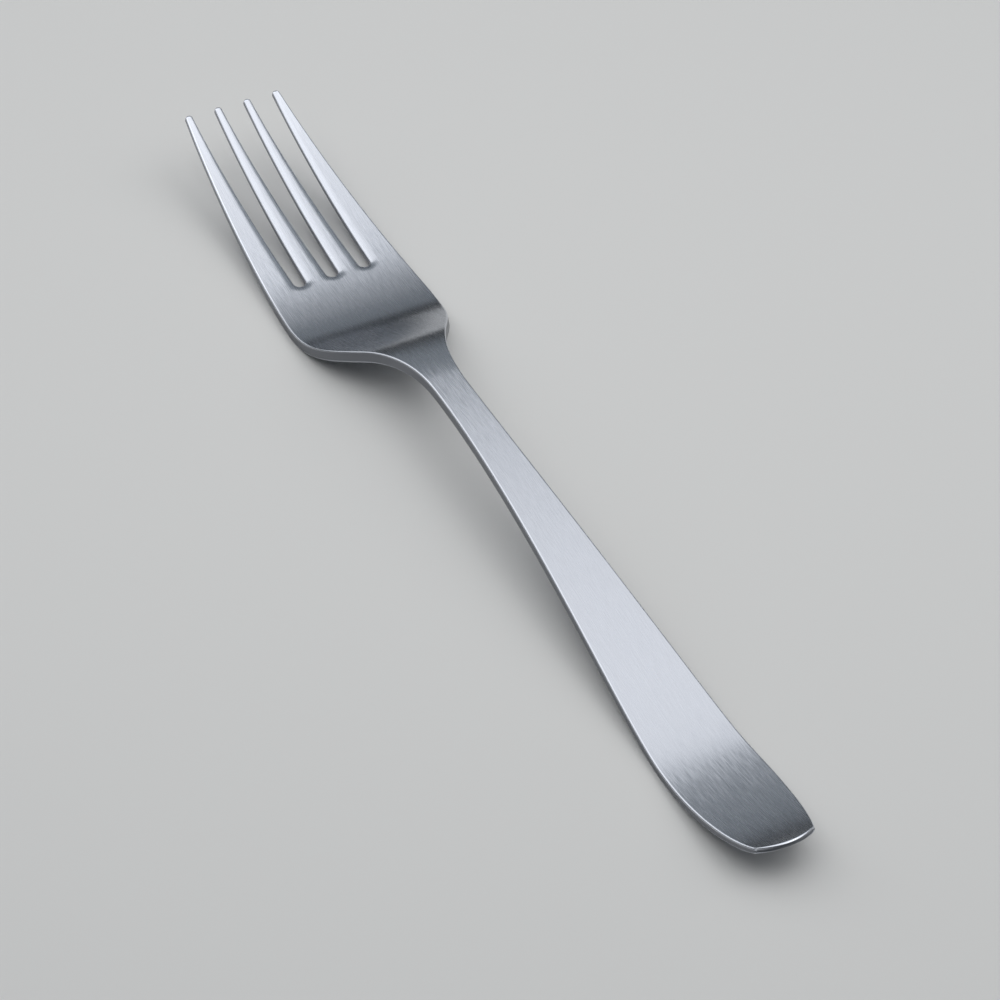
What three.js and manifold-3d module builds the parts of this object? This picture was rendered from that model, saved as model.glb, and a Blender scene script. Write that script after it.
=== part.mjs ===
// Table fork: one strip of stainless steel, blanked, slotted and pressed to shape.
// Millimetres. X runs from the handle to the tips of the tines, Y across, Z up from the table.
import * as THREE from 'three';
import { mergeVertices } from 'three/addons/utils/BufferGeometryUtils.js';
import Module from 'manifold-3d';

// Lengths along the table
const HANDLE_LENGTH = 118; // end of the handle to the crown of the neck
const NECK_LENGTH = 35; // crown of the neck to the lowest line of the bowl
const BOWL_LENGTH = 9.1; // lowest line of the bowl to the roots of the slots
const TINE_LENGTH = 44; // roots of the slots to the tips
const REST_FROM_END = 27.8; // end of the handle to the line that it rests on
const SLOPE_AFTER_CROWN = 14.3; // crown of the neck to the start of its slope
const GRIP_FROM_END = 20.4; // end of the handle to its widest line
const WAIST_BEFORE_CROWN = 3.9; // narrowest line of the neck to its crown
const SHOULDER_BEFORE_BOWL = 1.6; // widest line of the head to the lowest line of the bowl

// Widths across the outline
const END_WIDTH = 10.5; // between the two corners of the handle end
const END_BULGE = 1.7; // how far the end's arc stands out past its corners
const GRIP_WIDTH = 15.8;
const WAIST_WIDTH = 6.15;
const HEAD_WIDTH = 27.1;
const TIP_SPREAD = 18.8; // over the outer sides of the outer tips

// Heights of the middle of the sheet above the table, and its slopes
const END_HEIGHT = 6.6;
const CROWN_HEIGHT = 10.3;
const SLOPE_HEIGHT = 7.7; // at the start of the slope
const TIP_HEIGHT = 11.25;
const END_ANGLE = 28; // degrees, the handle end curls up
const SLOPE_ANGLE = 25.8; // degrees, the neck falls to the bowl
const TIP_ANGLE = 22; // degrees, the tips point up
const REST_FLAT = 0.12; // depth of the flat polished on each line that touches the table

// Thicknesses of the sheet, rolled thinner towards both ends
const END_THICKNESS = 1.25;
const GRIP_THICKNESS = 1.65;
const CROWN_THICKNESS = 2.2;
const BOWL_THICKNESS = 2;
const TIP_THICKNESS = 1.2;

// Leads of the side profile: how far the curve follows its tangent on each side of a station
const END_LEAD = 5.3;
const REST_LEAD_IN = 7.9;
const REST_LEAD_OUT = 12.4;
const CROWN_LEAD_IN = 40.4;
const CROWN_LEAD_OUT = 3.9;
const SLOPE_LEAD_IN = 3.5;
const SLOPE_LEAD_OUT = 10;
const BOWL_LEAD_IN = 8.1;
const BOWL_LEAD_OUT = 15.4;
const TIP_LEAD = 15.4;

// Leads of the outline, in the same way
const CORNER_ANGLE = 23; // degrees, how the sides flare from the corners of the end
const CORNER_LEAD = 5.2;
const GRIP_LEAD_IN = 5.1;
const GRIP_LEAD_OUT = 17;
const WAIST_LEAD_IN = 33.2;
const WAIST_LEAD_OUT = 20.2;
const SHOULDER_LEAD_IN = 18.9;
const SHOULDER_LEAD_OUT = 6.4;
const TIP_SIDE_ANGLE = 6.1; // degrees, how the outer sides close in at the tips
const TIP_SIDE_LEAD = 14;

// Tines and the slots between them
const TINES = 4;
const TINE_ROOT_WIDTH = 4.15; // an inner tine between two slot roots
const TINE_TIP_WIDTH = 1.3;
const SLOT_ROOT_WIDTH = 2.2;
const TIP_ROUND = 0.55; // radius of a tip, seen from above
const TIP_EDGE = 0.4; // how far a tip's end is rounded off in its thickness

// Rounded edges
const EDGE_ROUND = 0.35; // all along the outline
const SLOT_EASE_ROOT = 1.3; // width of the rounding on the slots' upper edges, at the roots
const SLOT_EASE_TIP = 0.5; // and at the tips
const SLOT_EASE_DEPTH = 0.55; // depth of that rounding, for each unit of its width
const UNDER_EASE = 0.5; // the slots' lower edges are rounded this much as the upper ones

// Facets
const END_STEPS = 10;
const HANDLE_STEPS = 16;
const NECK_STEPS = 9;
const SLOPE_STEPS = 11;
const TINE_STEPS = 14;
const ACROSS_STEPS = 8;
const ROUND_STEPS = 4;
const ROOT_STEPS = 10;
const CURVE_SAMPLES = 80; // for each stretch of a curve that is looked up
const OVERRUN = 2; // how far a cutter runs past what it cuts
const TOUCH = 0.03; // keeps a cutter's edge off the face that it leaves

const STEEL = { color: 0xc4c7cc, roughness: 0.32, metalness: 1 };

// Places along X, from the end of the handle
const crownX = HANDLE_LENGTH;
const slopeX = crownX + SLOPE_AFTER_CROWN;
const bowlX = crownX + NECK_LENGTH;
const rootX = bowlX + BOWL_LENGTH;
const tipX = rootX + TINE_LENGTH;
const waistX = crownX - WAIST_BEFORE_CROWN;
const shoulderX = bowlX - SHOULDER_BEFORE_BOWL;
const endSlope = Math.tan(THREE.MathUtils.degToRad(END_ANGLE));
const neckSlope = Math.tan(THREE.MathUtils.degToRad(SLOPE_ANGLE));
const tipSlope = Math.tan(THREE.MathUtils.degToRad(TIP_ANGLE));
const cornerSlope = Math.tan(THREE.MathUtils.degToRad(CORNER_ANGLE));
const tipSideSlope = Math.tan(THREE.MathUtils.degToRad(TIP_SIDE_ANGLE));

// Side profile: the middle of the sheet, resting on the handle and on the bowl
const restHeight = GRIP_THICKNESS / 2 - REST_FLAT;
const bowlHeight = BOWL_THICKNESS / 2 - REST_FLAT;
const profile = new THREE.Path();
profile.moveTo(0, END_HEIGHT);
profile.bezierCurveTo(
  END_LEAD, END_HEIGHT - END_LEAD * endSlope,
  REST_FROM_END - REST_LEAD_IN, restHeight,
  REST_FROM_END, restHeight,
);
profile.bezierCurveTo(
  REST_FROM_END + REST_LEAD_OUT, restHeight,
  crownX - CROWN_LEAD_IN, CROWN_HEIGHT,
  crownX, CROWN_HEIGHT,
);
profile.bezierCurveTo(
  crownX + CROWN_LEAD_OUT, CROWN_HEIGHT,
  slopeX - SLOPE_LEAD_IN, SLOPE_HEIGHT + SLOPE_LEAD_IN * neckSlope,
  slopeX, SLOPE_HEIGHT,
);
profile.bezierCurveTo(
  slopeX + SLOPE_LEAD_OUT, SLOPE_HEIGHT - SLOPE_LEAD_OUT * neckSlope,
  bowlX - BOWL_LEAD_IN, bowlHeight,
  bowlX, bowlHeight,
);
profile.bezierCurveTo(
  bowlX + BOWL_LEAD_OUT, bowlHeight,
  tipX - TIP_LEAD, TIP_HEIGHT - TIP_LEAD * tipSlope,
  tipX, TIP_HEIGHT,
);

// Outline: half of the width, from a corner of the handle end to the outer side of a tip
const outline = new THREE.Path();
outline.moveTo(END_BULGE, END_WIDTH / 2);
outline.bezierCurveTo(
  END_BULGE + CORNER_LEAD, END_WIDTH / 2 + CORNER_LEAD * cornerSlope,
  GRIP_FROM_END - GRIP_LEAD_IN, GRIP_WIDTH / 2,
  GRIP_FROM_END, GRIP_WIDTH / 2,
);
outline.bezierCurveTo(
  GRIP_FROM_END + GRIP_LEAD_OUT, GRIP_WIDTH / 2,
  waistX - WAIST_LEAD_IN, WAIST_WIDTH / 2,
  waistX, WAIST_WIDTH / 2,
);
outline.bezierCurveTo(
  waistX + WAIST_LEAD_OUT, WAIST_WIDTH / 2,
  shoulderX - SHOULDER_LEAD_IN, HEAD_WIDTH / 2,
  shoulderX, HEAD_WIDTH / 2,
);
outline.bezierCurveTo(
  shoulderX + SHOULDER_LEAD_OUT, HEAD_WIDTH / 2,
  tipX - TIP_SIDE_LEAD, TIP_SPREAD / 2 + TIP_SIDE_LEAD * tipSideSlope,
  tipX, TIP_SPREAD / 2,
);

const profilePoints = profile.getPoints(CURVE_SAMPLES);
const outlinePoints = outline.getPoints(CURVE_SAMPLES);

// Reads a sampled curve at x, and runs it on straight past its ends
function readCurve(points, x) {
  let i = 1;
  while (i < points.length - 1 && points[i].x < x) {
    i += 1;
  }
  const a = points[i - 1];
  const b = points[i];
  const slope = (b.y - a.y) / (b.x - a.x);
  return { value: a.y + (x - a.x) * slope, slope };
}

// Thickness of the sheet at x, blended smoothly from one rolled station to the next
const rolled = [
  [0, END_THICKNESS],
  [REST_FROM_END, GRIP_THICKNESS],
  [crownX, CROWN_THICKNESS],
  [bowlX, BOWL_THICKNESS],
  [tipX, TIP_THICKNESS],
];
function thicknessAt(x) {
  let i = 1;
  while (i < rolled.length - 1 && rolled[i][0] < x) {
    i += 1;
  }
  const [fromX, from] = rolled[i - 1];
  const [toX, to] = rolled[i];
  return THREE.MathUtils.lerp(from, to, THREE.MathUtils.smoothstep(x, fromX, toX));
}

// Presses a point of the flat blank, n above the middle of the sheet, into the side profile
function press(x, y, n) {
  const { value, slope } = readCurve(profilePoints, x);
  const length = Math.hypot(1, slope);
  return new THREE.Vector3(x - (n * slope) / length, y, value + n / length);
}

// How far a tip's rounding has closed in at x: nothing before it, all of its radius at the tip
function tipRounding(x, radius) {
  const into = THREE.MathUtils.clamp((x - tipX) / TIP_ROUND + 1, 0, 1);
  return radius * (1 - Math.sqrt(1 - into * into));
}

// Skin over a row of rings of points, all with the same count, closed at both ends
function loft(rings) {
  const count = rings[0].length;
  const last = (rings.length - 1) * count;
  const index = [];
  for (let r = 0; r < rings.length - 1; r += 1) {
    for (let k = 0; k < count; k += 1) {
      const a = r * count + k;
      const b = r * count + ((k + 1) % count);
      index.push(a, b, b + count, a, b + count, a + count);
    }
  }
  for (let k = 0; k < count / 2 - 1; k += 1) {
    const far = count - 1 - k;
    index.push(k, far - 1, k + 1, k, far, far - 1);
    index.push(last + k, last + k + 1, last + far - 1, last + k, last + far - 1, last + far);
  }
  const geometry = new THREE.BufferGeometry().setFromPoints(rings.flat());
  geometry.setIndex(index);
  return geometry;
}

// Blank: cross sections with rounded edges, the first ones bowed to the arc of the handle end
const endRadius = (END_WIDTH * END_WIDTH) / (8 * END_BULGE) + END_BULGE / 2;
function bow(x, share) {
  const out = (share * END_WIDTH) / 2;
  const arc = Math.sqrt(endRadius * endRadius - out * out) - (endRadius - END_BULGE);
  const fade = THREE.MathUtils.clamp(1 - (x - END_BULGE) / (GRIP_FROM_END - END_BULGE), 0, 1);
  return arc * fade * fade;
}

function section({ x, inset }) {
  const half = readCurve(outlinePoints, x).value - inset - tipRounding(x, TIP_ROUND);
  const deep = thicknessAt(x) / 2 - inset - tipRounding(x, TIP_EDGE);
  const round = Math.min(EDGE_ROUND, deep);
  const flat = half - round;
  const cut = round * Math.SQRT1_2;
  const ring = [];
  const add = (y, n) => ring.push(press(x - bow(x, y / half), y, n));
  for (const up of [1, -1]) {
    for (let k = 0; k <= ACROSS_STEPS; k += 1) {
      add(up * flat * (1 - (2 * k) / ACROSS_STEPS), up * deep);
    }
    add(-up * (flat + cut), up * (deep - round + cut));
    add(-up * half, up * (deep - round));
    add(-up * half, -up * (deep - round));
    add(-up * (flat + cut), -up * (deep - round + cut));
  }
  return ring;
}

function stations() {
  const steps = [END_STEPS, HANDLE_STEPS, NECK_STEPS, SLOPE_STEPS, TINE_STEPS];
  const list = [];
  for (let k = 0; k <= ROUND_STEPS; k += 1) {
    const turn = (k / ROUND_STEPS) * (Math.PI / 2);
    const x = END_BULGE + EDGE_ROUND * (1 - Math.cos(turn));
    list.push({ x, inset: EDGE_ROUND * (1 - Math.sin(turn)) });
  }
  const first = END_BULGE + 2 * EDGE_ROUND;
  const last = tipX - 2 * TIP_ROUND;
  profile.curves.forEach((curve, i) => {
    for (let k = 0; k < steps[i]; k += 1) {
      const { x } = curve.getPoint(k / steps[i]);
      if (x > first && x < last) {
        list.push({ x, inset: 0 });
      }
    }
  });
  for (let k = 0; k <= ROUND_STEPS; k += 1) {
    const turn = (k / ROUND_STEPS) * (Math.PI / 2);
    list.push({ x: tipX - TIP_ROUND * (1 - Math.sin(turn)), inset: 0 });
  }
  return list;
}

// Slot cutters: a round root, sides that open towards the tips, and rounded upper and lower edges
const rootRadius = SLOT_ROOT_WIDTH / 2;
const rootCentreX = rootX + rootRadius;
const rootPitch = TINE_ROOT_WIDTH + SLOT_ROOT_WIDTH;
const tipPitch = (TIP_SPREAD - TINE_TIP_WIDTH) / (TINES - 1);
const tipGap = tipPitch - TINE_TIP_WIDTH;

function along(x) {
  return (x - rootCentreX) / (tipX - rootCentreX);
}

// A cutter's levels from below the sheet to above it: the face that each follows, how far below that face
// it lies and how far it is opened out, both as shares of the rounding, and how far it is lifted clear
function levels() {
  const list = [];
  for (const face of [-1, 1]) {
    for (let k = 0; k <= ROUND_STEPS; k += 1) {
      const turn = (k / ROUND_STEPS) * (Math.PI / 2);
      const lift = k === ROUND_STEPS ? TOUCH : 0;
      list.push({ face, below: 1 - Math.sin(turn), open: 1 - Math.cos(turn), lift });
    }
    list.push({ face, below: 0, open: 1, lift: OVERRUN });
    if (face < 0) {
      list.reverse();
    }
  }
  return list;
}

function slotRing(order, { face, below, open, lift }) {
  const share = face > 0 ? 1 : UNDER_EASE;
  const ring = [];
  const add = (x, reach, swing) => {
    const ease = share * THREE.MathUtils.lerp(SLOT_EASE_ROOT, SLOT_EASE_TIP, along(x));
    const middle = order * THREE.MathUtils.lerp(rootPitch, tipPitch, along(x));
    const wide = reach + open * ease;
    const n = face * (thicknessAt(x) / 2 - below * ease * SLOT_EASE_DEPTH + lift);
    ring.push(press(x - wide * Math.cos(swing), middle + wide * Math.sin(swing), n));
  };
  const sides = [];
  for (let k = 1; k <= TINE_STEPS; k += 1) {
    sides.push(THREE.MathUtils.lerp(rootCentreX, tipX - TIP_ROUND, k / TINE_STEPS));
  }
  for (let k = 1; k <= ROUND_STEPS; k += 1) {
    sides.push(tipX - TIP_ROUND * (1 - Math.sin((k / ROUND_STEPS) * (Math.PI / 2))));
  }
  sides.push(tipX + OVERRUN);
  const reachAt = (x) => THREE.MathUtils.lerp(rootRadius, tipGap / 2, along(x)) + tipRounding(x, TIP_ROUND);
  for (const x of sides.toReversed()) {
    add(x, reachAt(x), Math.PI / 2);
  }
  for (let k = 0; k <= ROOT_STEPS; k += 1) {
    add(rootCentreX, rootRadius, Math.PI * (0.5 - k / ROOT_STEPS));
  }
  for (const x of sides) {
    add(x, reachAt(x), -Math.PI / 2);
  }
  return ring;
}

function slotCutter(k) {
  const order = k - (TINES - 2) / 2;
  return loft(levels().map((level) => slotRing(order, level)));
}

// Everything below the table, which leaves the two rest flats
function tableCutter() {
  const slab = new THREE.BoxGeometry(tipX + 2 * OVERRUN, HEAD_WIDTH + 2 * OVERRUN, OVERRUN);
  return slab.translate(tipX / 2, 0, -OVERRUN / 2);
}

const wasm = await Module();
wasm.setup();

function solid(geometry) {
  geometry.deleteAttribute('normal');
  geometry.deleteAttribute('uv');
  const merged = mergeVertices(geometry);
  return new wasm.Manifold(new wasm.Mesh({
    numProp: 3,
    vertProperties: Float32Array.from(merged.attributes.position.array),
    triVerts: Uint32Array.from(merged.index.array),
  }));
}

function forkGeometry() {
  let body = solid(loft(stations().map(section)));
  for (let k = 0; k < TINES - 1; k += 1) {
    body = body.subtract(solid(slotCutter(k)));
  }
  const mesh = body.subtract(solid(tableCutter())).getMesh();
  const geometry = new THREE.BufferGeometry();
  geometry.setAttribute('position', new THREE.BufferAttribute(mesh.vertProperties, 3));
  geometry.setIndex(new THREE.BufferAttribute(mesh.triVerts, 1));
  geometry.computeBoundingBox();
  const middle = geometry.boundingBox.getCenter(new THREE.Vector3());
  geometry.translate(-middle.x, 0, -geometry.boundingBox.min.z);
  geometry.computeVertexNormals();
  return geometry;
}

const fork = new THREE.Group();
const forkBody = new THREE.Mesh(forkGeometry(), new THREE.MeshStandardMaterial(STEEL));
forkBody.name = 'fork_body';
fork.add(forkBody);

export default fork;
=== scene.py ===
"""Table fork: one strip of brushed steel, slotted and pressed to shape, on a plain studio floor."""
import math
from typing import NamedTuple

import bpy
import numpy as np
from bpy.props import FloatProperty, FloatVectorProperty, IntProperty, PointerProperty
from mathutils import Matrix, Vector


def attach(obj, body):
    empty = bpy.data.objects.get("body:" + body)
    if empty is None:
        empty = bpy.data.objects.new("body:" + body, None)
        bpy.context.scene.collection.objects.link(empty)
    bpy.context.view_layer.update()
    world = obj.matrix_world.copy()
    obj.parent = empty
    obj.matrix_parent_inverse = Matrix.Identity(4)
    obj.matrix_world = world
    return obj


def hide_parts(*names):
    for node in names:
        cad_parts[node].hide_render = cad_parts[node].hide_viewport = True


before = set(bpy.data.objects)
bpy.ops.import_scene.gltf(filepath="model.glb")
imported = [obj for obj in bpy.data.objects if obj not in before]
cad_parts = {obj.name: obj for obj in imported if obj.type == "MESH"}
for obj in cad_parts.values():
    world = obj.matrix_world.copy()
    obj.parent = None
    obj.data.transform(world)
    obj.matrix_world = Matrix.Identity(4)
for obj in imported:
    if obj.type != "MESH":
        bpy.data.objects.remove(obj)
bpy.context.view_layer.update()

bl_info = {
    "name": "Table Fork",
    "version": (1, 0, 0),
    "blender": (4, 5, 0),
    "location": "View3D > Sidebar > Table Fork",
    "description": "Builds a brushed steel table fork and the studio that it lies in",
    "category": "Add Mesh",
}

MM = 0.001
QUARTER = math.pi / 2
CURVE_SAMPLES = 600  # for each stretch of a curve that is looked up
LONG_STEP = 1.0 * MM  # between two stations along the fork
ROUND_STATIONS = 14  # round the edge of the handle end, the slot roots and the tips
EASE_COLUMNS = 12  # across the rounding beside a slot
MIDDLE_COLUMNS = 5  # across the flat of a tine
EDGE_COLUMNS = 6  # round the outer edge
EASE_LIMIT = 0.45  # a rounding takes at most this share of its tine's width
GROUND_TURN = 1 / 3  # share of an outer edge's turn that is ground, and darkened with painted shade, like the side below it
FINE_LINES = (8.0, 0.25, 2.0)  # lines for each millimetre across, waves for each millimetre along, detail
BROAD_LINES = (2.2, 0.07, 2.0)
LEANING_LINES = (3.6, 0.3, 1.5)
LINE_NOISE = 0.55  # strength of each finer detail of a brush line
NEUTRAL = 0.5  # middle of a noise, and of a normal map's channel
FLOOR_SIDES = 64
FLOOR_ROUGHNESS = 0.9
FLOOR_GLOSS = 0.1
LAYER_GAP = 5.0 * MM  # between two layers of the softbox
BACKDROP_EDGE = (0.5, 0.85)  # cosines of the angles off the view between which the far wall fades in
HORIZON_EDGE = (0.22, 0.31)  # sines of the elevations between which the dark horizon fades out
FULL_FRAME = 36.0  # width of the camera's sensor, in millimetres
NEAREST = 10.0 * MM  # the camera sees nothing that is closer


def length(label, value, text):
    """A length of the fork, given in millimetres and kept in metres."""
    return FloatProperty(
        name=label, description=text, default=value * MM, min=0.0, precision=5, unit="LENGTH"
    )


def angle(label, value, text):
    """An angle of the fork, given in degrees and kept in radians."""
    return FloatProperty(name=label, description=text, default=math.radians(value), subtype="ANGLE")


def share(label, value, text):
    """A plain number from 0 to 1."""
    return FloatProperty(name=label, description=text, default=value, min=0.0, max=1.0, subtype="FACTOR")


def colour(label, value, text):
    """A linear colour."""
    return FloatVectorProperty(
        name=label, description=text, default=value, min=0.0, max=1.0, subtype="COLOR"
    )


def glow(label, value, text):
    """Radiance of a light panel, from 0 up."""
    return FloatProperty(name=label, description=text, default=value, min=0.0)


class ForkProfile(bpy.types.PropertyGroup):
    """The fork seen from the side: the middle of the sheet, and how thick it is rolled."""

    handle_length: length("Handle", 118, "End of the handle to the crown of the neck")
    neck_length: length("Neck", 35, "Crown of the neck to the lowest line of the bowl")
    bowl_length: length("Bowl", 9.1, "Lowest line of the bowl to the roots of the slots")
    tine_length: length("Tines", 44, "Roots of the slots to the tips")
    rest_from_end: length("Rest", 27.8, "End of the handle to the line that it rests on")
    slope_after_crown: length("Slope place", 14.3, "Crown of the neck to the start of its slope")
    end_height: length("End height", 6.6, "Middle of the sheet above the table, at the handle end")
    crown_height: length("Crown height", 10.3, "Middle of the sheet above the table, at the crown")
    slope_height: length("Slope height", 7.7, "Middle of the sheet above the table, at the slope")
    tip_height: length("Tip height", 11.25, "Middle of the sheet above the table, at the tips")
    end_angle: angle("End angle", 28, "How steeply the handle end curls up")
    slope_angle: angle("Slope angle", 25.8, "How steeply the neck falls to the bowl")
    tip_angle: angle("Tip angle", 22, "How steeply the tips point up")
    rest_flat: length("Rest flat", 0.12, "Depth of the flat polished on each line that touches the table")
    end_thickness: length("End thickness", 1.25, "Sheet at the handle end")
    grip_thickness: length("Grip thickness", 1.65, "Sheet where the handle rests")
    crown_thickness: length("Crown thickness", 2.2, "Sheet at the crown of the neck")
    bowl_thickness: length("Bowl thickness", 2, "Sheet at the lowest line of the bowl")
    tip_thickness: length("Tip thickness", 1.2, "Sheet at the tips")
    end_grinding: share("End grinding", 0.55, "How much of the handle end's lower half is ground off")
    end_grinding_run: length("End grinding run", 3.5, "How far that runs from the corners of the end")
    end_lead: length("End lead", 5.3, "How far the curve follows the end's slope")
    rest_lead_in: length("Rest lead in", 7.9, "How far the curve runs level before the rest")
    rest_lead_out: length("Rest lead out", 12.4, "How far the curve runs level after the rest")
    crown_lead_in: length("Crown lead in", 40.4, "How far the curve runs level before the crown")
    crown_lead_out: length("Crown lead out", 3.9, "How far the curve runs level after the crown")
    slope_lead_in: length("Slope lead in", 3.5, "How far the curve follows the slope before its start")
    slope_lead_out: length("Slope lead out", 10, "How far the curve follows the slope after its start")
    bowl_lead_in: length("Bowl lead in", 8.1, "How far the curve runs level before the lowest line")
    bowl_lead_out: length("Bowl lead out", 15.4, "How far the curve runs level after the lowest line")
    tip_lead: length("Tip lead", 15.4, "How far the curve follows the tips' slope")


class ForkOutline(bpy.types.PropertyGroup):
    """The fork seen from above: its outer outline and the rounding of its edges."""

    end_width: length("End width", 10.5, "Between the two corners of the handle end")
    end_bulge: length("End bulge", 1.7, "How far the end's arc stands out past its corners")
    grip_width: length("Grip width", 15.8, "Widest line of the handle")
    grip_from_end: length("Grip place", 20.4, "End of the handle to its widest line")
    waist_width: length("Waist width", 6.15, "Narrowest line of the neck")
    waist_before_crown: length("Waist place", 3.9, "Narrowest line of the neck to its crown")
    head_width: length("Head width", 27.1, "Widest line of the head")
    shoulder_before_bowl: length("Head place", 1.6, "Widest line of the head to the bowl's lowest line")
    tip_spread: length("Tip spread", 18.8, "Over the outer sides of the outer tips")
    corner_angle: angle("Corner angle", 23, "How the sides flare from the corners of the end")
    tip_side_angle: angle("Tip side angle", 6.1, "How the outer sides close in at the tips")
    corner_lead: length("Corner lead", 5.2, "How far the side follows the corner's flare")
    grip_lead_in: length("Grip lead in", 5.1, "How far the side runs straight before the grip")
    grip_lead_out: length("Grip lead out", 17, "How far the side runs straight after the grip")
    waist_lead_in: length("Waist lead in", 33.2, "How far the side runs straight before the waist")
    waist_lead_out: length("Waist lead out", 20.2, "How far the side runs straight after the waist")
    head_lead_in: length("Head lead in", 18.9, "How far the side runs straight before the head")
    head_lead_out: length("Head lead out", 6.4, "How far the side runs straight after the head")
    tip_side_lead: length("Tip side lead", 14, "How far the side follows the slope at the tips")
    edge_round: length("Edge rounding", 0.35, "Radius of the edge all along the outline")


class ForkTines(bpy.types.PropertyGroup):
    """The tines and the slots between them."""

    count: IntProperty(
        name="Tines", description="How many tines the head is slotted into", default=4, min=2, max=6
    )
    root_width: length("Tine root", 4.15, "An inner tine between two slot roots")
    tip_width: length("Tine tip", 1.3, "A tine before its tip is rounded")
    slot_width: length("Slot root", 2.2, "A slot at its rounded root")
    tip_round: length("Tip round", 0.55, "Radius of a tip seen from above")
    tip_edge: length("Tip edge", 0.4, "How far a tip is rounded off in its thickness")
    ease_root: length("Ease at the roots", 1.65, "Width of the slots' upper rounding, at the roots")
    ease_tip: length("Ease at the tips", 0.8, "Width of the slots' upper rounding, at the tips")
    ease_slope: share("Ease slope", 0.58, "Slope that the rounding reaches at the slots' rims")
    rim_round: length("Rim round", 0.16, "Radius of the slots' rims")
    ease_under: share("Ease below", 0.5, "How much of that rounding the slots' lower edges have")


class SteelFinish(bpy.types.PropertyGroup):
    """The brushed steel."""

    light_tone: colour("Light tone", (0.548, 0.568, 0.619), "Steel in the brighter brush lines")
    dark_tone: colour("Dark tone", (0.484, 0.502, 0.549), "Steel in the darker brush lines")
    roughness: share("Roughness", 0.27, "Mean roughness of the brushed faces")
    roughness_spread: share("Roughness spread", 0.08, "How much the roughness changes between brush lines")
    edge_roughness: share("Edge roughness", 0.2, "Roughness of the worn, polished edges")
    anisotropy: share("Brushing", 0.35, "How far reflections stretch across the brush lines")
    line_tilt: share("Line tilt", 0.05, "How far a brush line leans along the fork")
    calm_lines: share("Calm lines", 0.5, "How strong the lines are at the handle end and in the hollow")
    calm_run: length("Calm run", 20, "How far the calm handle end runs")
    edge_gain: share("Edge polish", 0.25, "How much brighter the worn edges are than the brushed faces")
    # Painted shade: the ground sides and slot walls take this share of the faces' tone, partly a duller
    # ground finish and partly shade painted into the colour
    side_shade_tone: share("Side tone", 0.42, "How bright the ground sides are beside the brushed faces")
    side_roughness: share("Side roughness", 0.4, "Roughness of the ground sides")
    # Painted shade: the neck and bowl are darkened to this share of the handle's tone
    hollow_shade_tone: share("Hollow tone", 0.88, "How bright the neck and the bowl are beside the handle")
    hollow_start: length("Hollow start", 126, "Where the hollow begins, along the sheet")
    hollow_end: length("Hollow end", 133, "Where the hollow has its whole tone, along the sheet")
    # The head's steel is made this much brighter than the handle's, rising from head_start to head_end
    head_gain: share("Head brightness", 0.31, "How much brighter the head is worn than the handle")
    head_start: length("Head start", 156, "Where that polish begins, along the sheet")
    head_end: length("Head end", 170, "Where that polish is complete, along the sheet")


class StudioStage(bpy.types.PropertyGroup):
    """The floor, the lights and the camera."""

    floor_tone: colour("Floor", (0.64, 0.64, 0.635), "The plain floor")
    floor_radius: length("Floor radius", 4000, "How far the floor runs from the fork")
    softbox_tone: share("Softbox", 0.303, "Radiance of each layer of the overhead softbox")
    softbox_layers: IntProperty(
        name="Layers", description="Layers towards the bright middle", default=3, min=1, max=8
    )
    softbox_width: length("Softbox width", 860, "Softbox across the camera's view")
    softbox_depth: length("Softbox depth", 850, "Softbox along the camera's view")
    softbox_step: length("Softbox step", 52, "How far each layer lies inside the one before")
    softbox_height: length("Softbox height", 410, "Softbox above the floor")
    softbox_ahead: length("Softbox ahead", 90, "Middle of the softbox beyond the fork, in the view")
    core_tone: share("Core", 0.25, "Radiance that the bright core adds to the softbox")
    core_size: length("Core size", 520, "Side of the bright core")
    core_ahead: length("Core ahead", 10, "Middle of the core beyond the fork, in the view")
    left_tone: glow("Left panel", 0.8, "Radiance of the panel on the left")
    left_length: length("Left length", 900, "Panel on the left, along the camera's view")
    left_width: length("Left width", 520, "Panel on the left, from its lower to its upper edge")
    left_ahead: length("Left ahead", 400, "Middle of that panel beyond the fork, in the view")
    left_place: length("Left place", 620, "Middle of that panel to the left of the fork")
    left_height: length("Left height", 430, "Middle of that panel above the floor")
    fill_tone: glow("Fill", 1.1, "Radiance of the panel on the right")
    fill_size: length("Fill size", 1200, "Side of the panel on the right")
    fill_right: length("Fill place", 900, "Middle of that panel to the right of the fork")
    fill_height: length("Fill height", 900, "Middle of that panel above the floor")
    horizon_tone: share("Horizon", 0.042, "Light of the room at the horizon")
    room_tone: share("Room", 0.126, "Light of the room higher up")
    room_tint: colour("Room tint", (0.848, 0.938, 1.0), "Colour of the room's light")
    backdrop_tone: share("Backdrop", 0.294, "Light of the far wall that the camera faces")
    lens: FloatProperty(
        name="Lens", description="Focal length on a full frame", default=144.0, unit="CAMERA"
    )
    camera_place: FloatVectorProperty(
        name="Camera",
        description="Where the camera stands",
        default=(-0.455816, 0.22871, 0.4448),
        subtype="XYZ",
    )
    camera_bearing: angle("Bearing", 153.034, "Direction of the camera from the fork, from +X towards +Y")
    camera_height: angle("Elevation", 41.421, "How far the camera looks down")


class TableFork(bpy.types.PropertyGroup):
    """Everything that a user would change on the fork and its stage."""

    profile: PointerProperty(type=ForkProfile, name="Profile")
    outline: PointerProperty(type=ForkOutline, name="Outline")
    tines: PointerProperty(type=ForkTines, name="Tines")
    finish: PointerProperty(type=SteelFinish, name="Finish")
    stage: PointerProperty(type=StudioStage, name="Stage")


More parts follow.
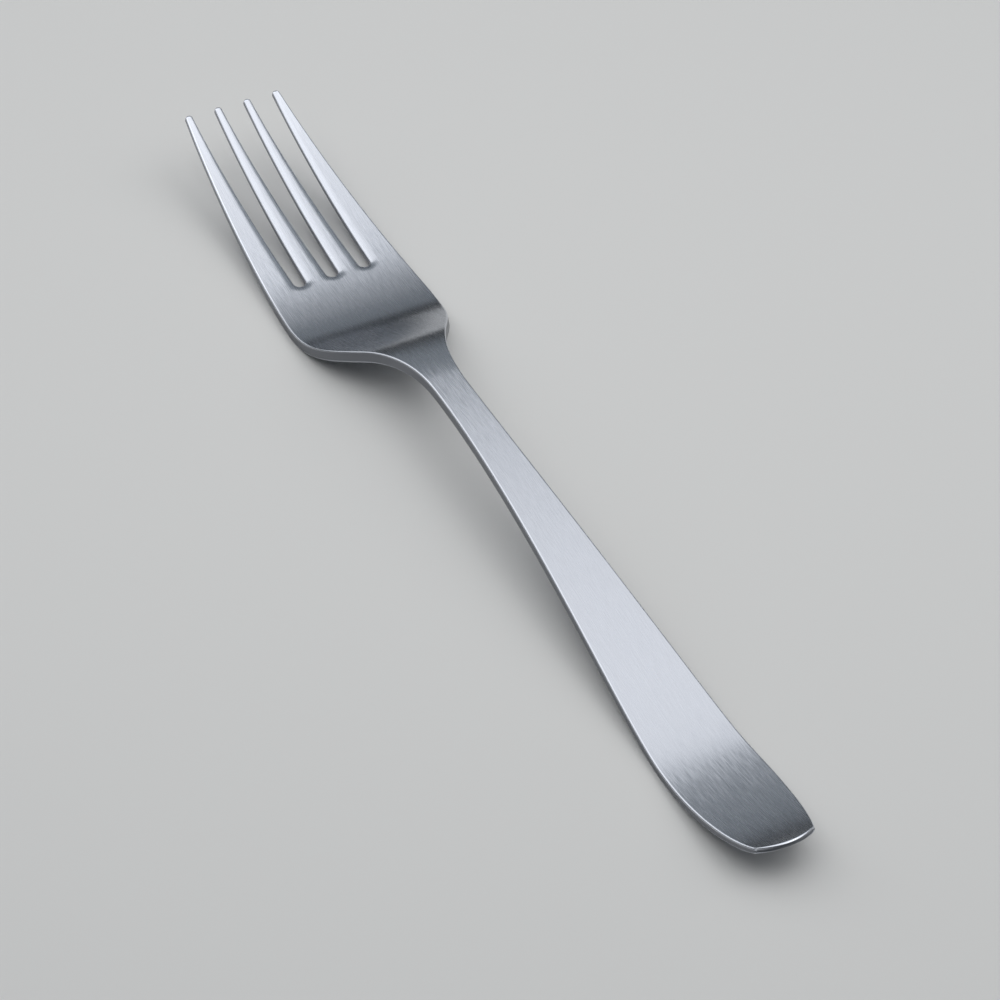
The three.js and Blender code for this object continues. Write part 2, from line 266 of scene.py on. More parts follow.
def cubic(start, lead_out, lead_in, end):
    """Cubic Bezier curve: its four points, each weighed by its Bernstein polynomial."""
    way = np.linspace(0.0, 1.0, CURVE_SAMPLES)[:, None]
    back = 1.0 - way
    weights = (back**3, 3 * back**2 * way, 3 * back * way**2, way**3)
    points = (start, lead_out, lead_in, end)
    return sum(weight * np.array(point) for weight, point in zip(weights, points))


def chain(stretches):
    """Sampled stretches joined into one curve, without the point that two of them share."""
    return np.concatenate([stretches[0]] + [stretch[1:] for stretch in stretches[1:]])


def quarter_round(reach):
    """How far a quarter circle of radius 1 has dropped where reach of its run is used up."""
    return 1.0 - np.sqrt(1.0 - np.clip(reach, 0.0, 1.0) ** 2)


def late_half(reach):
    """0 over the first half of a rounding, then rising evenly to 1 at its end."""
    return np.clip(2.0 * reach - 1.0, 0.0, 1.0)


class PressedSheet:
    """The sheet of the fork: heights, slopes, widths and thicknesses read at any place along it."""

    def __init__(self, profile, outline):
        self.profile = profile
        self.outline = outline
        self.crown = profile.handle_length
        self.bowl = self.crown + profile.neck_length
        self.root = self.bowl + profile.bowl_length
        self.tip = self.root + profile.tine_length
        self.side = self.side_curve()
        self.edge = self.outline_curve()
        steps = np.hypot(np.diff(self.side[:, 0]), np.diff(self.side[:, 1]))
        self.side_run = np.concatenate([[0.0], np.cumsum(steps)])
        self.side_slope = np.gradient(self.side[:, 1], self.side[:, 0])

    def side_curve(self):
        """Middle of the sheet from the side: cubics through end, rest, crown, slope, bowl and tips."""
        p = self.profile
        rest_height = p.grip_thickness / 2 - p.rest_flat
        bowl_height = p.bowl_thickness / 2 - p.rest_flat
        end = (0.0, p.end_height)
        end_out = (p.end_lead, p.end_height - p.end_lead * math.tan(p.end_angle))
        rest = (p.rest_from_end, rest_height)
        rest_out = (p.rest_from_end + p.rest_lead_out, rest_height)
        crown_in = (self.crown - p.crown_lead_in, p.crown_height)
        crown = (self.crown, p.crown_height)
        slope = (self.crown + p.slope_after_crown, p.slope_height)
        fall = math.tan(p.slope_angle)
        slope_in = (slope[0] - p.slope_lead_in, slope[1] + p.slope_lead_in * fall)
        slope_out = (slope[0] + p.slope_lead_out, slope[1] - p.slope_lead_out * fall)
        bowl = (self.bowl, bowl_height)
        tip = (self.tip, p.tip_height)
        tip_in = (self.tip - p.tip_lead, p.tip_height - p.tip_lead * math.tan(p.tip_angle))
        return chain([
            cubic(end, end_out, (rest[0] - p.rest_lead_in, rest_height), rest),
            cubic(rest, rest_out, crown_in, crown),
            cubic(crown, (crown[0] + p.crown_lead_out, p.crown_height), slope_in, slope),
            cubic(slope, slope_out, (bowl[0] - p.bowl_lead_in, bowl_height), bowl),
            cubic(bowl, (bowl[0] + p.bowl_lead_out, bowl_height), tip_in, tip),
        ])

    def outline_curve(self):
        """Half of the width: cubics through a corner of the end, the grip, the waist, the head and a tip."""
        o = self.outline
        waist_place = self.crown - o.waist_before_crown
        head_place = self.bowl - o.shoulder_before_bowl
        flare = math.tan(o.corner_angle)
        closing = math.tan(o.tip_side_angle)
        corner = (o.end_bulge, o.end_width / 2)
        corner_out = (o.end_bulge + o.corner_lead, o.end_width / 2 + o.corner_lead * flare)
        grip = (o.grip_from_end, o.grip_width / 2)
        waist = (waist_place, o.waist_width / 2)
        head = (head_place, o.head_width / 2)
        tip = (self.tip, o.tip_spread / 2)
        tip_in = (self.tip - o.tip_side_lead, o.tip_spread / 2 + o.tip_side_lead * closing)
        return chain([
            cubic(corner, corner_out, (grip[0] - o.grip_lead_in, grip[1]), grip),
            cubic(grip, (grip[0] + o.grip_lead_out, grip[1]), (waist[0] - o.waist_lead_in, waist[1]), waist),
            cubic(waist, (waist[0] + o.waist_lead_out, waist[1]), (head[0] - o.head_lead_in, head[1]), head),
            cubic(head, (head[0] + o.head_lead_out, head[1]), tip_in, tip),
        ])

    def half_width(self, x):
        """Half of the outline's width at x."""
        return np.interp(x, self.edge[:, 0], self.edge[:, 1])

    def thickness(self, x):
        """Thickness at x: a smooth step from each rolled station to the next."""
        p = self.profile
        places = np.array([0.0, p.rest_from_end, self.crown, self.bowl, self.tip])
        rolled = np.array(
            [p.end_thickness, p.grip_thickness, p.crown_thickness, p.bowl_thickness, p.tip_thickness]
        )
        stretch = np.clip(np.searchsorted(places, x) - 1, 0, len(places) - 2)
        way = np.clip((x - places[stretch]) / (places[stretch + 1] - places[stretch]), 0.0, 1.0)
        step = way * way * (3.0 - 2.0 * way)
        return rolled[stretch] + (rolled[stretch + 1] - rolled[stretch]) * step

    def bow(self, x, across):
        """How far a point stands out at the handle's end: the end's arc, fading out towards the grip.

        The arc's radius is width^2 / (8 bulge) + bulge / 2.
        """
        o = self.outline
        radius = o.end_width**2 / (8 * o.end_bulge) + o.end_bulge / 2
        arc = np.sqrt(radius**2 - (across * o.end_width / 2) ** 2) - (radius - o.end_bulge)
        fade = np.clip(1.0 - (x - o.end_bulge) / (o.grip_from_end - o.end_bulge), 0.0, 1.0)
        return arc * fade**2

    def lower_share(self, x):
        """How much of the sheet's lower half is left at x: ground down towards the handle end."""
        p = self.profile
        fade = np.clip(1.0 - (x - self.outline.end_bulge) / p.end_grinding_run, 0.0, 1.0)
        return 1.0 - p.end_grinding * fade**2

    def press(self, x, y, n):
        """A point of the flat blank, n above the middle of the sheet, moved square to the side curve."""
        slope = np.interp(x, self.side[:, 0], self.side_slope)
        height = np.interp(x, self.side[:, 0], self.side[:, 1])
        tilt = np.hypot(1.0, slope)
        return np.stack([x - n * slope / tilt, y, np.maximum(height + n / tilt, 0.0)], axis=-1)

    def run(self, x):
        """Distance from the handle end to x, along the sheet."""
        return np.interp(x, self.side[:, 0], self.side_run)


class SlottedHead:
    """The slots of the head: where their middles run, their widths and the rounding of their edges."""

    def __init__(self, sheet, tines):
        self.sheet = sheet
        self.tines = tines
        self.radius = tines.slot_width / 2
        self.centre = sheet.root + self.radius
        self.root_pitch = tines.root_width + tines.slot_width
        self.tip_pitch = (sheet.outline.tip_spread - tines.tip_width) / (tines.count - 1)
        self.orders = (tines.count - 2) / 2 - np.arange(tines.count - 1)

    def along(self, x):
        """Share of the way from the middle of a root to the tips, 0 before it."""
        return np.clip((x - self.centre) / (self.sheet.tip - self.centre), 0.0, 1.0)

    def tip_reach(self, x):
        """How much of the tip's rounding is used up at x: 0 before it, 1 at the tip."""
        return np.clip((x - self.sheet.tip) / self.tines.tip_round + 1.0, 0.0, 1.0)

    def pitch(self, x):
        """Distance between the middles of two slots."""
        return self.root_pitch + (self.tip_pitch - self.root_pitch) * self.along(x)

    def reach(self, x):
        """Half of a slot's width: a half circle at its root, then opening evenly to the tips."""
        root = np.sqrt(np.clip(self.radius**2 - (self.centre - x) ** 2, 0.0, None))
        end = (self.tip_pitch - self.tines.tip_width) / 2
        open_side = self.radius + (end - self.radius) * self.along(x)
        rounded = self.tines.tip_round * quarter_round(self.tip_reach(x))
        return np.where(x < self.centre, root, open_side + rounded)

    def ease(self, x):
        """Width of the rounding beside a slot, within what the narrow tips leave for it."""
        wanted = self.tines.ease_root + (self.tines.ease_tip - self.tines.ease_root) * self.along(x)
        tine = self.pitch(x) - 2 * self.reach(x)
        return np.minimum(wanted, EASE_LIMIT * tine)

    def rounding(self, x, y, ease):
        """How far a face drops towards the slots, and how much of their rims' round is used up.

        drop = slope ease s^2 / 2 with s = 1 - distance / ease, and a quarter circle at the rim.
        """
        tines = self.tines
        drop = np.zeros_like(y)
        rim = np.zeros_like(y)
        for order in self.orders:
            beside = np.abs(y - order * self.pitch(x)) - self.reach(x)
            before = np.hypot(x - self.centre, y - order * self.root_pitch) - self.radius
            distance = np.where(x < self.centre, before, beside)
            drop += 0.5 * tines.ease_slope * ease * np.clip(1.0 - distance / ease, 0.0, 1.0) ** 2
            rim += quarter_round(1.0 - distance / tines.rim_round)
        return drop + tines.rim_round * rim, rim


def fork_stations(sheet, head):
    """Places along the fork, close together where the end, the slot roots and the tips round off.

    Gives each place, how far the end's edge has closed in there, and the station of the slots' roots.
    """
    edge = sheet.outline.edge_round
    turn = np.linspace(0.0, QUARTER, ROUND_STATIONS)
    end = sheet.outline.end_bulge + edge * (1.0 - np.cos(turn))
    ease = head.tines.ease_root
    before_root = sheet.root - ease * (1.0 - np.cos(turn[::-1]))
    round_root = head.centre - head.radius * np.cos(turn)
    tip = sheet.tip - head.tines.tip_round * (1.0 - np.sin(turn))
    handle_steps = math.ceil((before_root[0] - end[-1]) / LONG_STEP)
    tine_steps = math.ceil((tip[0] - round_root[-1]) / LONG_STEP)
    handle = np.linspace(end[-1], before_root[0], handle_steps + 1)[1:-1]
    tine = np.linspace(round_root[-1], tip[0], tine_steps + 1)[1:-1]
    places = np.concatenate([end, handle, before_root, round_root[1:], tine, tip])
    inset = np.zeros_like(places)
    inset[: len(end)] = edge * (1.0 - np.sin(turn))
    root_station = len(end) + len(handle) + len(before_root) - 1
    return places, inset, root_station


def lane_places(left, right, ease):
    """Places across one tine: cosine spacing through the rounding at each side, even between."""
    turn = np.linspace(0.0, QUARTER, EASE_COLUMNS)
    near = ease[:, None] * (1.0 - np.cos(turn))
    even = np.linspace(0.0, 1.0, MIDDLE_COLUMNS + 2)[1:-1]
    middle = (left - ease)[:, None] + (right - left + 2 * ease)[:, None] * even
    return np.concatenate([left[:, None] - near, middle, right[:, None] + near[:, ::-1]], axis=1)


class Columns(NamedTuple):
    """Columns of the fork's skin: arrays of stations along the fork by columns across it."""

    y: np.ndarray  # place across the fork
    upper: np.ndarray  # height of the upper face over the middle of the sheet
    lower: np.ndarray  # depth of the lower face under it
    worn: np.ndarray  # 1 on the polished edges
    ground: np.ndarray  # 1 on the ground sides, which the steel also darkens with painted shade
    unroll: np.ndarray  # how the brushing map lays a side out: 1 to the left, -1 to the right, 0 along

    def mirrored(self):
        """The same columns on the other side of the fork."""
        turned = Columns(*(field[:, ::-1] for field in self))
        return turned._replace(y=-turned.y, unroll=-turned.unroll)


def side_by_side(parts):
    """Columns joined into one set."""
    return Columns(*(np.concatenate(fields, axis=1) for fields in zip(*parts)))


class ForkSkin:
    """The fork's surface: an upper and a lower skin on one grid of stations along and columns across.

    Each tine owns a lane of columns that runs the whole length. Lanes share their border column up to
    the roots of the slots, and part there into the two walls of a slot.
    """

    def __init__(self, sheet, head):
        self.sheet = sheet
        self.head = head
        self.x, self.inset, self.root_station = fork_stations(sheet, head)
        rounded = quarter_round(head.tip_reach(self.x))
        self.half = sheet.half_width(self.x) - self.inset - head.tines.tip_round * rounded
        self.deep = sheet.thickness(self.x) / 2 - self.inset - head.tines.tip_edge * rounded
        self.edge = np.minimum(sheet.outline.edge_round, self.deep)
        self.end_run = head.tines.tip_edge * rounded - self.inset
        self.ending = self.inset / sheet.outline.edge_round + rounded
        self.past_root = np.clip((self.x - sheet.root) / head.radius, 0.0, 1.0)
        self.build_columns()

    def borders(self):
        """Left and right side of every lane: the outline's flat, a slot's wall, or a line that two share."""
        flat = self.half - self.edge
        root_half = self.half[self.root_station]
        squeeze = np.where(self.x < self.sheet.root, self.half / root_half, 1.0)
        middles = [order * self.head.pitch(self.x) * squeeze for order in self.head.orders]
        reach = self.head.reach(self.x)
        reach[: self.root_station + 1] = 0.0
        lefts = [flat] + [middle - reach for middle in middles]
        rights = [middle + reach for middle in middles] + [-flat]
        return list(zip(lefts, rights))

    def edge_columns(self):
        """The left outer edge from the middle of its side to the face: the side, then a quarter circle."""
        turn = np.linspace(0.0, QUARTER, EDGE_COLUMNS + 1)[:-1]
        out = (self.half - self.edge)[:, None] + self.edge[:, None] * np.cos(turn)
        up = (self.deep - self.edge)[:, None] + self.edge[:, None] * np.sin(turn)
        y = np.concatenate([self.half[:, None], out], axis=1)
        n = np.concatenate([np.zeros_like(up[:, :1]), up], axis=1)
        whole = np.ones_like(y)
        turned = np.concatenate([[0.0], turn]) / QUARTER
        ground = whole * np.clip(1.0 - turned / GROUND_TURN, 0.0, 1.0)
        return Columns(y, n, n, whole, ground, whole)

    def lane_columns(self, left, right, ease):
        """Both faces of one tine, rounded towards the slots beside it."""
        tines = self.head.tines
        y = lane_places(left, right, np.minimum(ease, EASE_LIMIT * (left - right)))
        x = np.repeat(self.x[:, None], y.shape[1], axis=1)
        spread = np.repeat(ease[:, None], y.shape[1], axis=1)
        drop, rim = self.head.rounding(x, y, spread)
        drop_below, _ = self.head.rounding(x, y, spread * tines.ease_under)
        upper = self.deep[:, None] - drop
        lower = self.deep[:, None] - drop_below
        side = np.sign(np.linspace(1.0, -1.0, y.shape[1]))
        # The steep part of each slot's rim is marked as ground, so the steel darkens it with painted shade
        return Columns(y, upper, lower, np.zeros_like(y), late_half(rim), side * self.past_root[:, None])

    def wall_columns(self, place, side):
        """The middle of a slot's wall."""
        y = place[:, None]
        middle = np.zeros_like(y)
        # Marked as ground, so the steel darkens the slot wall with painted shade
        return Columns(y, middle, middle, middle, middle + 1.0, side * self.past_root[:, None])

    def build_columns(self):
        """All columns, lane after lane, and the pairs that faces join, the late ones only past the roots."""
        ease = np.minimum(self.head.ease(self.x), EASE_LIMIT * self.half)
        edge = self.edge_columns()
        borders = self.borders()
        lanes = []
        self.pairs, self.late_pairs, self.walls, self.seams = [], [], [], []
        first = 0
        for lane, (left, right) in enumerate(borders):
            outer_left = lane == 0
            outer_right = lane == len(borders) - 1
            before = edge if outer_left else self.wall_columns(left, 1.0)
            after = edge.mirrored() if outer_right else self.wall_columns(right, -1.0)
            lanes.append(side_by_side([before, self.lane_columns(left, right, ease), after]))
            last = first + lanes[-1].y.shape[1] - 1
            starts = np.arange(first, last)
            late = np.zeros(len(starts), bool)
            late[0] = not outer_left
            late[-1] = not outer_right
            self.pairs.append(starts[~late])
            self.late_pairs.append(starts[late])
            self.walls += [first, last]
            if not outer_left:
                self.seams.append((first - 2, first + 1))
            first = last + 1
        columns = side_by_side(lanes)
        self.columns = columns._replace(lower=columns.lower * self.sheet.lower_share(self.x)[:, None])
        self.pairs = np.concatenate(self.pairs)
        self.late_pairs = np.concatenate(self.late_pairs)

    def indices(self):
        """Vertex numbers of both skins, with the walls' middles and the shared borders taken once."""
        shape = self.columns.y.shape
        count = shape[0] * shape[1]
        upper = np.arange(count).reshape(shape)
        lower = upper + count
        lower[:, self.walls] = upper[:, self.walls]
        for here, there in self.seams:
            upper[: self.root_station + 1, there] = upper[: self.root_station + 1, here]
            lower[: self.root_station + 1, there] = lower[: self.root_station + 1, here]
            upper[self.root_station, there - 1] = upper[self.root_station, here + 1]
            lower[self.root_station, there - 1] = upper[self.root_station, here + 1]
        return upper, lower

    def faces(self):
        """Quads of both skins, and triangles that close the handle end and the tips."""
        upper, lower = self.indices()
        stations = np.arange(len(self.x) - 1)
        late_stations = stations[self.root_station:]
        quads = []
        for pairs, rows in ((self.pairs, stations), (self.late_pairs, late_stations)):
            row, column = np.meshgrid(rows, pairs, indexing="ij")
            for skin, turned in ((upper, False), (lower, True)):
                ring = [skin[row, column], skin[row, column + 1]]
                ring += [skin[row + 1, column + 1], skin[row + 1, column]]
                quads.append(np.stack(ring[::-1] if turned else ring, axis=-1).reshape(-1, 4))
        end = self.pairs
        tips = np.concatenate([self.pairs, self.late_pairs])
        caps = []
        for station, columns, turned in ((0, end, True), (-1, tips, False)):
            corners = [upper[station, columns], upper[station, columns + 1]]
            corners += [lower[station, columns + 1], lower[station, columns]]
            for three in ((0, 1, 2), (0, 2, 3)):
                picked = [corners[k] for k in three]
                caps.append(np.stack(picked[::-1] if turned else picked, axis=-1))
        caps = np.concatenate(caps)
        whole = (caps[:, 0] != caps[:, 1]) & (caps[:, 1] != caps[:, 2]) & (caps[:, 2] != caps[:, 0])
        return np.concatenate(quads), caps[whole]

    def points(self):
        """Points of both skins, pressed into the side curve, and two maps of them.

        The brushing map is Y and the run along the sheet, with drops below a face rolled out beside it.
        The section map is Y and the height off the sheet's middle, for the caps that close the ends.
        """
        columns = self.columns
        x = np.repeat(self.x[:, None], columns.y.shape[1], axis=1)
        bowed = x - self.sheet.bow(x, columns.y / self.half[:, None])
        run = self.sheet.run(bowed) + self.end_run[:, None]
        places, brushing, section = [], [], []
        for height, face in ((columns.upper, 1.0), (columns.lower, -1.0)):
            drop = self.deep[:, None] - height
            across = columns.y + columns.unroll * drop
            along = run + (1.0 - np.abs(columns.unroll)) * drop
            places.append(self.sheet.press(bowed, columns.y, face * height).reshape(-1, 3))
            brushing.append(np.stack([across, along], axis=-1).reshape(-1, 2))
            section.append(np.stack([columns.y, face * height], axis=-1).reshape(-1, 2))
        return np.concatenate(places), np.concatenate(brushing), np.concatenate(section)

    def finish(self):
        """Wear, and grinding with its painted side shade, of every point: of its column, or of the fork's
        ends where that is more.
        """
        worn = np.maximum(self.columns.worn, np.sign(self.ending)[:, None])
        ground = np.maximum(self.columns.ground, late_half(self.ending)[:, None])
        return {"edge_wear": np.tile(worn.ravel(), 2), "side_grinding_and_shade": np.tile(ground.ravel(), 2)}


def fork_mesh(settings):
    """The fork's mesh: both skins in one closed surface, with its brushing map, wear and grinding."""
    sheet = PressedSheet(settings.profile, settings.outline)
    skin = ForkSkin(sheet, SlottedHead(sheet, settings.tines))
    places, brushing, section = skin.points()
    quads, caps = skin.faces()
    used, inverse = np.unique(np.concatenate([quads.ravel(), caps.ravel()]), return_inverse=True)
    quads = inverse[: quads.size].reshape(-1, 4)
    caps = inverse[quads.size:].reshape(-1, 3)
    places = places[used]
    places[:, 0] -= (places[:, 0].min() + places[:, 0].max()) / 2
    mesh = bpy.data.meshes.new("fork_body_brushed")
    mesh.from_pydata(places, [], quads.tolist() + caps.tolist())
    mesh.shade_smooth()
    layer = mesh.uv_layers.new(name="brushing")
    corner_map = np.concatenate([brushing[used[quads.ravel()]], section[used[caps.ravel()]]])
    layer.data.foreach_set("uv", corner_map.astype(np.float32).ravel())
    for name, values in skin.finish().items():
        attribute = mesh.attributes.new(name, "FLOAT", "POINT")
        attribute.data.foreach_set("value", values[used].astype(np.float32))
    mesh.update()
    return mesh


class NodeTree:
    """Short hand for a node tree: adds nodes, sets their sockets and links them."""

    def __init__(self, tree):
        self.tree = tree
        tree.nodes.clear()

    def add(self, kind, sockets=None, **settings):
        """A node of that kind with its settings, its sockets set to values or linked to other nodes."""
        node = self.tree.nodes.new(kind)
        for name, value in settings.items():
            setattr(node, name, value)
        for name, value in (sockets or {}).items():
            socket = node.inputs[name]
            if isinstance(value, bpy.types.NodeSocket):
                self.tree.links.new(value, socket)
            else:
                socket.default_value = value
        return node

    def maths(self, operation, first, second, third=0.0):
        """The result of one sum."""
        return self.add("ShaderNodeMath", {0: first, 1: second, 2: third}, operation=operation).outputs[0]

    def blend(self, share_of_second, first, second):
        """A number between the first and the second."""
        sockets = {"Factor": share_of_second, "A": first, "B": second}
        return self.add("ShaderNodeMix", sockets, data_type="FLOAT").outputs["Result"]

    def ramp(self, value, start, end, low, high):
        """A smooth step from low to high while the value runs from start to end."""
        sockets = {"Value": value, "From Min": start, "From Max": end, "To Min": low, "To Max": high}
        return self.add("ShaderNodeMapRange", sockets, interpolation_type="SMOOTHSTEP").outputs["Result"]


def brush_lines(nodes, place, lines):
    """Noise drawn out along the fork: so many lines across it, and so many waves along it."""
    across, along, detail = lines
    scale = (across / MM, along / MM, 1.0)
    mapped = nodes.add("ShaderNodeMapping", {"Vector": place, "Scale": scale}).outputs["Vector"]
    sockets = {"Vector": mapped, "Scale": 1.0, "Detail": detail, "Roughness": LINE_NOISE}
    return nodes.add("ShaderNodeTexNoise", sockets, noise_dimensions="2D").outputs["Fac"]


def along_fork(nodes, run, finish, hollow, head):
    """A value along the fork: 1 on the handle, then the hollow's in the neck and bowl, then the head's."""
    neck = nodes.ramp(run, finish.hollow_start, finish.hollow_end, 1.0, hollow)
    beyond = nodes.ramp(run, finish.head_start, finish.head_end, 1.0, head / hollow)
    return nodes.maths("MULTIPLY", neck, beyond)


def steel_material(finish):
    """Brushed steel: lengthwise lines in tone, roughness and lean, worn bright edges, ground sides darkened
    with painted shade, a neck and bowl darkened with painted shade, and a brighter head.
    """
    material = bpy.data.materials.new("brushed_steel")
    material.use_nodes = True
    nodes = NodeTree(material.node_tree)
    place = nodes.add("ShaderNodeUVMap", uv_map="brushing").outputs["UV"]
    fine = brush_lines(nodes, place, FINE_LINES)
    broad = brush_lines(nodes, place, BROAD_LINES)
    lean = brush_lines(nodes, place, LEANING_LINES)
    worn = nodes.add("ShaderNodeAttribute", attribute_name="edge_wear").outputs["Fac"]
    ground = nodes.add("ShaderNodeAttribute", attribute_name="side_grinding_and_shade").outputs["Fac"]
    run = nodes.add("ShaderNodeSeparateXYZ", {"Vector": place}).outputs["Y"]
    strength = along_fork(nodes, run, finish, finish.calm_lines, 1.0)
    calm_end = nodes.ramp(run, 0.0, finish.calm_run, finish.calm_lines, 1.0)
    strength = nodes.maths("MULTIPLY", strength, calm_end)
    mean = nodes.maths("MULTIPLY_ADD", broad, 0.5, nodes.maths("MULTIPLY", fine, 0.5))
    swing = nodes.maths("MULTIPLY", nodes.maths("SUBTRACT", mean, NEUTRAL), strength)
    mixed = nodes.maths("ADD", swing, NEUTRAL)
    tones = {"Factor": mixed, "A": (*finish.dark_tone, 1.0), "B": (*finish.light_tone, 1.0)}
    lines = nodes.add("ShaderNodeMix", tones, data_type="RGBA").outputs["Result"]
    # Painted shade darkens the neck and bowl; the head is made brighter
    gain = along_fork(nodes, run, finish, finish.hollow_shade_tone, 1.0 + finish.head_gain)
    polish = nodes.maths("MULTIPLY_ADD", worn, finish.edge_gain, 1.0)
    # Painted shade: the ground sides and slot walls take the darker side tone
    gain = nodes.maths("MULTIPLY", gain, nodes.blend(ground, polish, finish.side_shade_tone))
    tone = nodes.add("ShaderNodeVectorMath", {0: lines, "Scale": gain}, operation="SCALE")
    rough = nodes.maths("MULTIPLY_ADD", swing, 2 * finish.roughness_spread, finish.roughness)
    rough = nodes.blend(worn, rough, finish.edge_roughness)
    rough = nodes.blend(ground, rough, finish.side_roughness)
    leaning = nodes.maths("MULTIPLY", nodes.maths("SUBTRACT", lean, NEUTRAL), strength)
    tilt = nodes.maths("MULTIPLY_ADD", leaning, finish.line_tilt, NEUTRAL)
    channels = {"Red": NEUTRAL, "Green": tilt, "Blue": 1.0}
    lean_colour = nodes.add("ShaderNodeCombineColor", channels).outputs["Color"]
    normal = nodes.add("ShaderNodeNormalMap", {"Color": lean_colour}, space="TANGENT", uv_map="brushing")
    tangent = nodes.add("ShaderNodeTangent", direction_type="UV_MAP", uv_map="brushing")
    steel = nodes.add("ShaderNodeBsdfPrincipled", {
        "Base Color": tone.outputs["Vector"],
        "Metallic": 1.0,
        "Roughness": rough,
        "Anisotropic": finish.anisotropy,
        "Normal": normal.outputs["Normal"],
        "Tangent": tangent.outputs["Tangent"],
    })
    nodes.add("ShaderNodeOutputMaterial", {"Surface": steel.outputs["BSDF"]})
    return material


class FORK_OT_body(bpy.types.Operator):
    """Builds the fork itself: one closed piece of brushed steel"""

    bl_idname = "fork.body"
    bl_label = "Fork body"

    def execute(self, context):
        settings = context.scene.table_fork
        mesh = fork_mesh(settings)
        mesh.materials.append(steel_material(settings.finish))
        body = bpy.data.objects.new("fork_brushed_body", mesh)
        context.scene.collection.objects.link(body)
        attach(body, "root")
        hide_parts("fork_body")
        return {"FINISHED"}


def floor_object(stage):
    """A plain round floor: points at the radius times the cosine and sine of the turn, and one face."""
    turn = np.linspace(0.0, 4 * QUARTER, FLOOR_SIDES, endpoint=False)
    rim = np.stack([np.cos(turn), np.sin(turn), np.zeros_like(turn)], axis=-1) * stage.floor_radius
    mesh = bpy.data.meshes.new("studio_floor")
    mesh.from_pydata(rim, [], [list(range(len(rim)))])
    material = bpy.data.materials.new("floor_paper")
    material.use_nodes = True
    nodes = NodeTree(material.node_tree)
    paper = nodes.add("ShaderNodeBsdfPrincipled", {
        "Base Color": (*stage.floor_tone, 1.0),
        "Roughness": FLOOR_ROUGHNESS,
        "Specular IOR Level": FLOOR_GLOSS,
    })
    nodes.add("ShaderNodeOutputMaterial", {"Surface": paper.outputs["BSDF"]})
    mesh.materials.append(material)
    return bpy.data.objects.new("studio_floor", mesh)


def view_axes(stage):
    """The camera's view on the floor: straight ahead, and to its left."""
    ahead = Vector((-math.cos(stage.camera_bearing), -math.sin(stage.camera_bearing), 0.0))
    return ahead, Vector((-ahead.y, ahead.x, 0.0))


def panel_light(name, radiance, size, place, target, ahead):
    """A rectangular light panel that faces the target, the second side of its size along ahead."""
    width, depth = size
    light = bpy.data.lights.new(name, "AREA")
    light.shape = "RECTANGLE"
    light.energy = radiance * math.pi * width * depth
    light.size = width
    light.size_y = depth
    panel = bpy.data.objects.new(name, light)
    back = (place - target).normalized()
    side = ahead.cross(back).normalized()
    turned = Matrix((side, back.cross(side), back)).transposed()
    panel.matrix_world = Matrix.Translation(place) @ turned.to_4x4()
    panel.visible_camera = False
    return panel


def softbox_panels(stage):
    """The overhead softbox: a bright core over level panels, one inside the other, whose lights add up."""
    ahead = view_axes(stage)[0]
    below = ahead * stage.core_ahead
    place = below + Vector((0.0, 0.0, stage.softbox_height + LAYER_GAP))
    size = (stage.core_size, stage.core_size)
    panels = [panel_light("softbox_core", stage.core_tone, size, place, below, ahead)]
    below = ahead * stage.softbox_ahead
    for layer in range(stage.softbox_layers):
        inset = 2 * layer * stage.softbox_step
        place = below + Vector((0.0, 0.0, stage.softbox_height - layer * LAYER_GAP))
        size = (stage.softbox_width - inset, stage.softbox_depth - inset)
        panels.append(panel_light("softbox_layer", stage.softbox_tone, size, place, below, ahead))
    return panels


def side_panels(stage):
    """A panel along the left, which the left edges mirror, and a larger one high on the right."""
    ahead, left = view_axes(stage)
    up = Vector((0.0, 0.0, 1.0))
    beside = ahead * stage.left_ahead
    place = beside + left * stage.left_place + up * stage.left_height
    size = (stage.left_width, stage.left_length)
    edge = panel_light("edge_panel", stage.left_tone, size, place, beside, ahead)
    place = up * stage.fill_height - left * stage.fill_right
    size = (stage.fill_size, stage.fill_size)
    fill = panel_light("fill_panel", stage.fill_tone, size, place, Vector(), ahead)
    return [edge, fill]


def room_world(stage):
    """The room round the fork: dark at the horizon, dim above it, and a lighter wall ahead of the camera."""
    world = bpy.data.worlds.new("studio_room")
    world.use_nodes = True
    nodes = NodeTree(world.node_tree)
    direction = nodes.add("ShaderNodeTexCoord").outputs["Generated"]
    height = nodes.add("ShaderNodeSeparateXYZ", {"Vector": direction}).outputs["Z"]
    sockets = {0: direction, 1: view_axes(stage)[0]}
    ahead = nodes.add("ShaderNodeVectorMath", sockets, operation="DOT_PRODUCT").outputs["Value"]
    facing = nodes.ramp(ahead, *BACKDROP_EDGE, 0.0, 1.0)
    upper = nodes.maths("MULTIPLY_ADD", facing, stage.backdrop_tone - stage.room_tone, stage.room_tone)
    lifted = nodes.ramp(height, *HORIZON_EDGE, 0.0, 1.0)
    change = nodes.maths("SUBTRACT", upper, stage.horizon_tone)
    light = nodes.maths("MULTIPLY_ADD", lifted, change, stage.horizon_tone)
    background = nodes.add("ShaderNodeBackground", {"Color": (*stage.room_tint, 1.0), "Strength": light})
    nodes.add("ShaderNodeOutputWorld", {"Surface": background.outputs["Background"]})
    return world


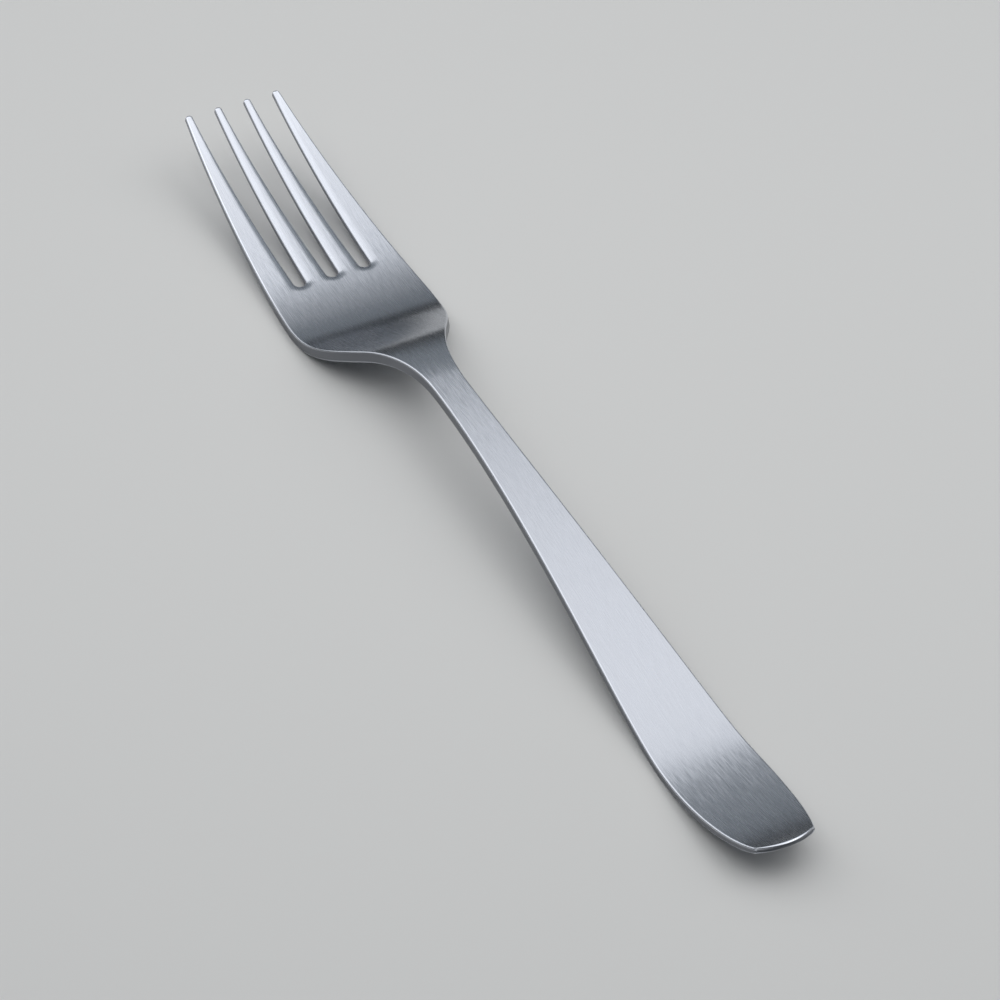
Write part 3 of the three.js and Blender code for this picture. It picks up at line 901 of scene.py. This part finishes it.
def studio_camera(stage):
    """The camera at the photograph's place, level, looking down at the fork."""
    camera = bpy.data.cameras.new("photo_camera")
    camera.sensor_width = FULL_FRAME
    camera.lens = stage.lens
    camera.clip_start = NEAREST
    seen = bpy.data.objects.new("photo_camera", camera)
    bearing = Vector((math.cos(stage.camera_bearing), math.sin(stage.camera_bearing), 0.0))
    back = bearing * math.cos(stage.camera_height) + Vector((0.0, 0.0, math.sin(stage.camera_height)))
    side = Vector((-bearing.y, bearing.x, 0.0))
    turned = Matrix((side, back.cross(side), back)).transposed()
    seen.matrix_world = Matrix.Translation(stage.camera_place) @ turned.to_4x4()
    return seen


class FORK_OT_stage(bpy.types.Operator):
    """Builds the floor, the lights, the room and the camera"""

    bl_idname = "fork.stage"
    bl_label = "Studio stage"

    def execute(self, context):
        scene = context.scene
        stage = scene.table_fork.stage
        floor = floor_object(stage)
        camera = studio_camera(stage)
        for made in (floor, *softbox_panels(stage), *side_panels(stage), camera):
            scene.collection.objects.link(made)
        scene.camera = camera
        scene.world = room_world(stage)
        scene.view_settings.view_transform = "Standard"
        return {"FINISHED"}


class FORK_PT_sidebar(bpy.types.Panel):
    """The fork's settings and its two makers"""

    bl_idname = "FORK_PT_sidebar"
    bl_label = "Table Fork"
    bl_space_type = "VIEW_3D"
    bl_region_type = "UI"
    bl_category = "Table Fork"

    def draw(self, context):
        settings = context.scene.table_fork
        groups = (settings.profile, settings.outline, settings.tines, settings.finish, settings.stage)
        for group in groups:
            box = self.layout.box()
            for name in group.__annotations__:
                box.prop(group, name)
        self.layout.operator(FORK_OT_body.bl_idname)
        self.layout.operator(FORK_OT_stage.bl_idname)


CLASSES = (
    ForkProfile,
    ForkOutline,
    ForkTines,
    SteelFinish,
    StudioStage,
    TableFork,
    FORK_OT_body,
    FORK_OT_stage,
    FORK_PT_sidebar,
)


def register():
    """Adds the classes, and the fork's settings to each scene."""
    for made in CLASSES:
        bpy.utils.register_class(made)
    bpy.types.Scene.table_fork = PointerProperty(type=TableFork)


def unregister():
    """Takes the settings and the classes away again."""
    del bpy.types.Scene.table_fork
    for made in reversed(CLASSES):
        bpy.utils.unregister_class(made)


def main():
    """Builds the stage and the fork."""
    register()
    bpy.ops.fork.stage()
    bpy.ops.fork.body()


if __name__ == "__main__":
    main()
